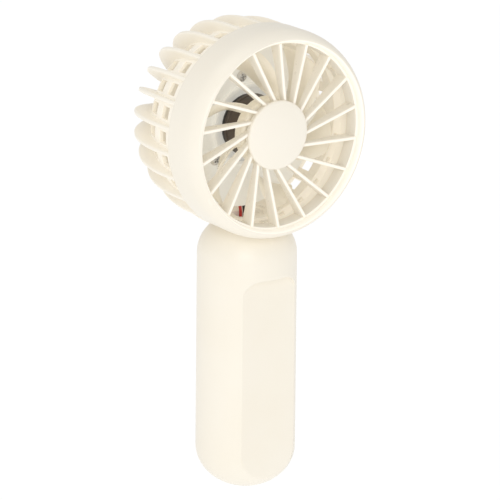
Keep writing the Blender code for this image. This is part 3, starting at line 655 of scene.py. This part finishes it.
def fin(angle):
    """One fin from the band to the boss, with a rounded outer edge."""
    rings = []
    for (edge_r, edge_depth), (root_r, root_depth) in zip(spline(FIN_EDGE, 5), spline(FIN_ROOT, 5)):
        span = math.hypot(edge_r - root_r, edge_depth - root_depth)
        flank = []
        for down, half in ((span, FIN_ROOT_HALF), (span * 0.5, FIN_MIDDLE_HALF), *FIN_TIP):
            t = min(down / span, 1.0)
            flank.append((edge_r + (root_r - edge_r) * t, edge_depth + (root_depth - edge_depth) * t, half))
        loop = [head_point(radius, angle, depth, -half) for radius, depth, half in flank]
        loop += [head_point(radius, angle, depth, half) for radius, depth, half in reversed(flank)]
        rings.append(loop)
    return loft(rings)


def shell_fins():
    """All the fins as one piece."""
    parts = [fin(FIN_START + k * FIN_STEP) for k in range(FIN_COUNT)]
    return dress(many("shell_fins", parts), FINS, stands_for=("head_shell",), sharp=50.0)


def shell_inner():
    """The screw posts and the spigot, inside the head."""
    for index, angle in enumerate(POST_ANGLES):
        loop = fillet(((SCREW_HOLE_R, 27.4), (SCREW_HOLE_R, 36.0), (0.0, 36.0), (0.0, 50.2),
                       (3.6, 50.2, 0.6), (3.0, 47.5, 0.6), (3.0, 27.4, 0.3)))
        post = lathe(f"shell_post_{index + 1}", loop, "Y", head_point(POST_RADIUS, angle, 0.0), 32)
        dress(post, DOME, stands_for=("head_shell",))
    loop = fillet(((SPIGOT_BORE_R, 93.8, 0.2), (SPIGOT_R, 93.8, 0.4), (SPIGOT_R, 112.6),
                   (SPIGOT_BORE_R, 112.6)))
    spigot = lathe("shell_spigot", loop, "Z", ORIGIN, 64)
    dress(spigot, DOME, stands_for=("head_shell",))


def rear_cap():
    """The round cap in the boss."""
    loop = fillet(((0.0, 60.4), (14.9, 60.4), (14.9, 61.1, 0.35), (14.2, 61.3, 0.4), (0.0, 61.3)))
    return dress(head_lathe("rear_cap_disc", loop, 120), CAP, stands_for=("rear_cap",))


def vane(angle):
    """One vane of the grille: a thin tapering blade whose front edge is rounded."""
    (outer_r, outer_front, outer_rear), (inner_r, inner_front, inner_rear) = VANE_ENDS
    ends = []
    for radius, turn in ((outer_r, angle), (inner_r, angle + VANE_SWIRL)):
        a = math.radians(turn)
        ends.append(Vector((radius * math.cos(a), radius * math.sin(a))))
    along = (ends[1] - ends[0]).normalized()
    side = Vector((-along.y, along.x))
    rings = []
    steps = 14
    for k in range(steps + 1):
        t = k / steps
        centre = ends[0].lerp(ends[1], t)
        front = outer_front + (inner_front - outer_front) * t
        rear = outer_rear + (inner_rear - outer_rear) * t
        flank = [(aside, front + down) for aside, down in VANE_FLANK] + [(-VANE_REAR_HALF, rear)]
        loop = flank + [(-aside, depth) for aside, depth in reversed(flank)]
        rings.append([(centre.x + side.x * aside, FRONT_Y + depth, HEAD_Z + centre.y + side.y * aside)
                      for aside, depth in loop])
    return loft(rings)


def grille():
    """The vanes, the ring round them, the boss that they meet at and the hooks that hold the ring."""
    vanes = many("grille_vanes", [vane(VANE_START + k * VANE_STEP) for k in range(VANE_COUNT)])
    dress(vanes, GRILLE, stands_for=("front_grille",), sharp=50.0)
    loop = fillet(((38.0, 3.0), (38.0, 9.2), (36.9, 9.2, 0.2), (37.3, 3.1, 0.35)))
    dress(head_lathe("grille_ring", loop, 256), GRILLE, stands_for=("front_grille",))
    loop = fillet(((3.0, 4.9), (13.4, 4.9), (13.4, 6.9, 0.3), (3.0, 6.9)))
    dress(head_lathe("grille_boss", loop, 96), GRILLE, stands_for=("front_grille",))
    hook = fillet(((36.8, 8.6), (37.55, 8.6), (37.55, 10.9), (39.1, 10.9, 0.2), (38.0, 12.4, 0.2),
                   (36.8, 12.4, 0.2)))
    hooks = []
    for angle in HOOK_ANGLES:
        hooks.append(loft([[head_point(radius, angle, depth, aside) for radius, depth in hook]
                           for aside in (-HOOK_HALF, HOOK_HALF)]))
    dress(many("grille_hooks", hooks), GRILLE, stands_for=("front_grille",))


def hub_cap():
    """The slightly domed cap in the middle of the grille."""
    face = spline(((0.0, 1.6), (4.0, 1.72), (8.0, 2.1), (11.5, 2.72), (13.1, 3.15), (13.85, 3.55),
                   (14.05, 4.1)), 5)
    loop = face + [(14.05, 4.5), (2.6, 4.5), (2.6, 6.6), (0.0, 6.6)]
    return dress(head_lathe("hub_disc", loop, 140), CAP, stands_for=("hub_cap",))


def blade(angle):
    """One impeller blade, widening from its root, with a rounded edge all round its section."""
    rings = []
    columns = 16
    for radius, sweep, half, front, rear, thick in spline(BLADE_STATIONS, 4):
        upper = []
        lower = []
        for c in range(columns + 1):
            t = c / columns
            turn = angle + sweep - half + 2 * half * t
            camber = BLADE_CAMBER * math.sin(math.pi * t)
            depth = front + (rear - front) * t - camber
            # Thickest in the middle, and closed by a round at each edge.
            edge = math.sqrt(max(0.0, 1.0 - (2 * t - 1) ** 8))
            swell = (0.35 + 0.65 * math.sin(math.pi * t)) * edge
            upper.append(head_point(radius, turn, depth + swell * thick / 2))
            lower.append(head_point(radius, turn, depth - swell * thick / 2))
        rings.append(upper + lower[-2:0:-1])
    return loft(rings)


def impeller():
    """The blades and the cup that they stand on."""
    blades = many("impeller_blades", [blade(BLADE_START + k * BLADE_STEP) for k in range(BLADE_COUNT)])
    dress(blades, IMPELLER, "rotor", ("impeller",), 50.0)
    loop = fillet(((0.0, 8.3), (12.9, 8.3, 0.9), (14.0, 9.3, 0.8), (14.0, 13.7, 0.2), (13.05, 13.7, 0.2),
                   (13.05, 9.5), (0.0, 9.5)))
    dress(head_lathe("impeller_hub", loop, 120), IMPELLER, "rotor", ("impeller",))


def motor():
    """The black bell with its groove, the plate behind the blades and the plate's screws."""
    loop = fillet(((1.3, 9.8), (12.1, 9.8, 0.5), (12.7, 10.6, 0.4), (12.7, 20.6), (12.45, 20.8),
                   (12.45, 21.3), (12.7, 21.5), (12.7, 23.2, 0.25), (11.9, 23.2, 0.2), (11.9, 11.0),
                   (3.6, 11.0), (3.6, 12.6), (1.3, 12.6)))
    dress(head_lathe("motor_bell", loop, 120), BELL, "rotor", ("rotor_bell",))
    loop = fillet(((2.6, 25.2), (14.9, 25.2, 0.3), (14.9, 23.6, 0.3), (16.6, 23.6, 0.3),
                   (16.6, 25.2, 0.4), (33.9, 25.2, 0.4), (33.9, 27.1, 0.3), (2.6, 27.1)))
    plate = head_lathe("plate_disc", loop, 180)
    hole = ((0.0, 24.0), (SCREW_HOLE_R, 24.0), (SCREW_HOLE_R, 28.5), (0.0, 28.5))
    for angle in POST_ANGLES:
        boolean(plate, lathe("plate_hole", hole, "Y", head_point(POST_RADIUS, angle, 0.0), 32))
    dress(plate, PLATE, stands_for=("motor_plate",), sharp=30.0)
    for index, angle in enumerate(POST_ANGLES):
        screw = cross_screw(f"plate_screw_{index + 1}_head", head_point(POST_RADIUS, angle, 24.9), angle)
        dress(screw, STEEL, stands_for=(f"plate_screw_{index + 1}",), sharp=30.0)


def cross_screw(name, centre, turn):
    """A pan-head screw with a cross recess. Its head stands on the centre and its shank points along +Y."""
    head_r = 2.3
    head_h = 1.3
    shank_r = 1.0
    length = 9.5
    loop = fillet(((0.0, -head_h), (head_r * 0.62, -head_h, 0.3), (head_r, -head_h * 0.42, 0.4),
                   (head_r, 0.0, 0.1), (shank_r, 0.0), (shank_r, length - 0.6), (0.0, length)))
    screw = lathe(name, loop, "Y", centre, 40)
    reach = head_r * 0.55
    half = head_r * 0.13
    for extra in (0.0, 90.0):
        a = math.radians(turn + extra)
        c = math.cos(a)
        s = math.sin(a)
        outline = []
        for u, v in ((-reach, -half), (reach, -half), (reach, half), (-reach, half)):
            outline.append((centre[0] + u * c - v * s, centre[2] + u * s + v * c))
        boolean(screw, prism("recess", outline, centre[1] - (head_h + 0.4), centre[1] - head_h * 0.35))
    return screw


# The handle

def arch(x):
    """Height of the facet's upper outline."""
    inner = FACET_HALF - FACET_CORNER
    over = max(0.0, min(abs(x) - inner, FACET_CORNER))
    return FACET_TOP - FACET_CORNER + math.sqrt(FACET_CORNER ** 2 - over ** 2)


def handle_columns():
    """(angle, whether it crosses the facet) of each column round the handle's axis."""
    across = 28
    around = 150
    columns = []
    for k in range(across + 1):
        x = -CHORD_HALF + 2 * CHORD_HALF * k / across
        columns.append((math.atan2(FACET_Y, x), True))
    first = columns[0][0]
    last = columns[-1][0]
    gap = (first + 2 * math.pi) - last
    for k in range(1, around):
        columns.append((last + gap * k / around, False))
    return columns


def handle_column(angle, on_facet):
    """The points of one column: the base dome, the facet or wall, the wall above it and the top dome."""
    base_rows = 18
    facet_rows = 32
    shoulder_rows = 6
    crown_rows = 14
    lower = DOME_H / math.sin(math.radians(-BASE_ANGLE))
    base = math.radians(BASE_ANGLE)
    shoulder = HANDLE_TOP - DOME_H
    plane = HANDLE_R
    top_in = top_out = arch(CHORD_HALF)
    if on_facet:
        plane = min(-FACET_Y / abs(math.sin(angle)), HANDLE_R)
        top_in = arch(plane * math.cos(angle))
        top_out = arch(HANDLE_R * math.cos(angle))
    low_turn = -math.acos(plane / HANDLE_R)
    points = []
    for k in range(base_rows + 1):
        turn = base + (low_turn - base) * k / base_rows
        points.append((HANDLE_R * math.cos(turn), DOME_H + lower * math.sin(turn)))
    low_z = points[-1][1]
    for k in range(1, facet_rows + 1):
        points.append((plane, low_z + (top_in - low_z) * k / facet_rows))
    points.append((HANDLE_R, top_out))
    for k in range(1, shoulder_rows + 1):
        points.append((HANDLE_R, top_out + (shoulder - top_out) * k / shoulder_rows))
    for k in range(1, crown_rows + 1):
        turn = math.radians(CROWN_ANGLE * k / crown_rows)
        points.append((HANDLE_R * math.cos(turn), shoulder + DOME_H * math.sin(turn)))
    return [(r * math.cos(angle), r * math.sin(angle), z) for r, z in points]


def handle_grid():
    """The capsule as columns whose rows follow the facet's outline, so that the facet's edges are clean."""
    lines = [handle_column(angle, on_facet) for angle, on_facet in handle_columns()]
    count = len(lines)
    rows = len(lines[0])
    verts = [line[r] for r in range(rows) for line in lines]
    faces = []
    for r in range(rows - 1):
        for c in range(count):
            n = (c + 1) % count
            faces.append((r * count + c, r * count + n, (r + 1) * count + n, (r + 1) * count + c))
    verts += [ORIGIN, (0.0, 0.0, HANDLE_TOP)]
    for c in range(count):
        n = (c + 1) % count
        faces.append((c, n, len(verts) - 2))
        faces.append(((rows - 1) * count + c, (rows - 1) * count + n, len(verts) - 1))
    return raw("handle_shell", verts, faces)


def head_envelope(gap):
    """A solid round the head with a gap all round, for the saddle in the handle's top."""
    per = 4
    # The bezel without its inner lip, and the fins without their first and last stretch.
    bezel = spline(BEZEL, per)[10:]
    fins = spline(FIN_EDGE, per)[per:-per]
    outside = [(r + gap, depth) for r, depth in (*bezel, (42.4, 19.0), *fins)]
    loop = [(0.0, -1.0), (39.0, -1.0)] + outside + [(0.0, 61.6)]
    return head_lathe("saddle", loop, 200)


def handle_hollow():
    """The space inside the handle's wall, which stays behind the facet and under the deck."""
    lowest = -62.0
    steps = 8
    cavity = [(0.0, 2.4), (5.0, 2.4)]
    for k in range(steps + 1):
        turn = math.radians(lowest - lowest * k / steps)
        cavity.append(((HANDLE_R - WALL) * math.cos(turn), DOME_H + (DOME_H - WALL - 0.1) * math.sin(turn)))
    cavity += [(18.0, 92.0), (16.6, 98.0), (13.9, DECK_Z), (0.0, DECK_Z)]
    hollow = lathe("hollow", cavity, "Z", ORIGIN, 96)
    backing = ((-20.0, 0.0), (20.0, 0.0), (20.0, 110.0), (-20.0, 110.0))
    return boolean(hollow, prism("backing", backing, -24.0, FACET_Y + WALL))


def handle():
    """The handle's moulding with its saddle, hollow, spigot hole and the opening for the cover."""
    body = handle_grid()
    bevel(body, 0.2, 22.0)
    bake(body)
    boolean(body, head_envelope(SADDLE_GAP))
    boolean(body, handle_hollow())
    hole_r = SPIGOT_R + SPIGOT_GAP
    hole = ((0.0, 90.0), (hole_r, 90.0), (hole_r, 115.0), (0.0, 115.0))
    boolean(body, lathe("spigot_hole", hole, "Z", ORIGIN, 64))
    opening = rounded(COVER_HALF + COVER_GAP, COVER_LOW - COVER_GAP, COVER_HIGH + COVER_GAP,
                      COVER_CORNER + COVER_GAP)
    boolean(body, prism("cover_opening", opening, *BACK_CUT))
    return dress(body, HANDLE, stands_for=("handle_body",), sharp=28.0)


def rear_cover():
    """A round-cornered piece of the handle's wall, with holes for the button, the light and the port."""
    inner = HANDLE_R - WALL
    spare = 2.0
    low = COVER_LOW - spare
    high = COVER_HIGH + spare
    cover = lathe("cover_panel", ((HANDLE_R, low), (HANDLE_R, high), (inner, high), (inner, low)), "Z",
                  ORIGIN, 180)
    panel = rounded(COVER_HALF, COVER_LOW, COVER_HIGH, COVER_CORNER)
    boolean(cover, prism("mask", panel, *BACK_CUT), "INTERSECT")
    front, back = BACK_CUT
    for z, radius in ((BUTTON_Z, BUTTON_HOLE_R), (LENS_Z, LENS_HOLE_R)):
        hole = ((0.0, front), (radius, front), (radius, back), (0.0, back))
        boolean(cover, lathe("hole", hole, "Y", (0.0, 0.0, z), 48))
    port_x, port_z = PORT_HALF
    port = rounded(port_x, PORT_Z - port_z, PORT_Z + port_z, PORT_CORNER, 6)
    boolean(cover, prism("port", port, front, back))
    bevel(cover, 0.22, 30.0)
    bake(cover)
    return dress(cover, HANDLE, stands_for=("rear_cover",), sharp=28.0)


def controls():
    """The power button, dished in its middle, and the light guide."""
    loop = fillet(((0.0, 13.05), (1.2, 13.05), (1.2, 14.6), (6.4, 14.6, 0.2), (6.4, 15.6, 0.2), (5.2, 15.6),
                   (5.2, 20.0, 0.45), (4.5, 20.5, 0.4), (3.9, 20.55, 0.3), (3.0, 20.35, 0.5), (0.0, 20.2)))
    button = lathe("power_key", loop, "Y", (0.0, 0.0, BUTTON_Z), 72)
    dress(button, CAP, "button", ("power_button",))
    loop = fillet(((0.0, 12.4), (1.5, 12.4, 0.2), (1.5, 19.5, 0.35), (0.6, 19.8, 0.4), (0.0, 19.8)))
    lens = lathe("light_guide", loop, "Y", (0.0, 0.0, LENS_Z), 36)
    dress(lens, LENS, stands_for=("indicator_lens",))


def carried_nodes():
    """Every CAD node that still shows gets its slot's material."""
    slots = {entry["node"]: entry["material_slot"] for entry in frame["record"]["subparts"]}
    for name, node in frame["nodes"].items():
        if node.hide_render:
            continue
        material = SLOT_MATERIALS[slots[name]]
        if not node.material_slots:
            node.data.materials.append(material)
        for held in node.material_slots:
            held.link = "OBJECT"
            held.material = material


# The stage

def area_light(name, place, size, power, colour):
    """A rectangular light turned towards the object."""
    light = bpy.data.lights.new(name, "AREA")
    light.shape = "RECTANGLE"
    light.size, light.size_y = size
    light.energy = power
    light.color = colour
    obj = bpy.data.objects.new(name, light)
    obj.location = place
    obj.rotation_mode = "QUATERNION"
    obj.rotation_quaternion = (Vector(LIGHT_TARGET) - Vector(place)).to_track_quat("-Z", "Y")
    bpy.context.scene.collection.objects.link(obj)
    return obj


def white_floor():
    """A matt white floor just under the object, bright enough to run into the background."""
    h = GROUND_HALF
    mesh = bpy.data.meshes.new("floor")
    mesh.from_pydata([(-h, -h, 0.0), (h, -h, 0.0), (h, h, 0.0), (-h, h, 0.0)], [], [(0, 1, 2, 3)])
    floor = bpy.data.objects.new("floor", mesh)
    floor.location.z = -GROUND_DROP
    bpy.context.scene.collection.objects.link(floor)
    tree = Tree("floor_white")
    tree.set("Base Color", (0.10, 0.10, 0.10))
    tree.set("Roughness", 0.9)
    tree.set("Specular IOR Level", 0.0)
    tree.set("Emission Color", (1.0, 1.0, 1.0))
    tree.set("Emission Strength", 0.94)
    mesh.materials.append(tree.material)


def stage():
    """The floor, an even white sky and the lights."""
    white_floor()
    world = bpy.data.worlds.new("studio")
    bpy.context.scene.world = world
    world.use_nodes = True
    sky = world.node_tree.nodes["Background"]
    sky.inputs["Color"].default_value = (1.0, 1.0, 1.0, 1.0)
    sky.inputs["Strength"].default_value = WORLD_STRENGTH
    for light in LIGHTS:
        area_light(*light)


def camera():
    """A long lens turned towards the middle of the object and rolled a little."""
    a = math.radians(VIEW_AZIMUTH)
    e = math.radians(VIEW_ELEVATION)
    back = Vector((math.sin(a) * math.cos(e), -math.cos(a) * math.cos(e), math.sin(e)))
    data = bpy.data.cameras.new("camera")
    data.lens = VIEW_LENS
    data.sensor_width = VIEW_SENSOR
    data.clip_start, data.clip_end = VIEW_CLIP
    obj = bpy.data.objects.new("camera", data)
    obj.location = Vector(VIEW_TARGET) + back * VIEW_DISTANCE
    obj.rotation_mode = "QUATERNION"
    roll = Quaternion((0.0, 0.0, 1.0), math.radians(VIEW_ROLL))
    obj.rotation_quaternion = (-back).to_track_quat("-Z", "Y") @ roll
    bpy.context.scene.collection.objects.link(obj)
    bpy.context.scene.camera = obj


camera()
head_band()
shell_cage()
shell_dome()
shell_fins()
shell_inner()
rear_cap()
grille()
hub_cap()
impeller()
motor()
handle()
rear_cover()
controls()
carried_nodes()
stage()
bpy.context.scene.view_settings.view_transform = "Standard"
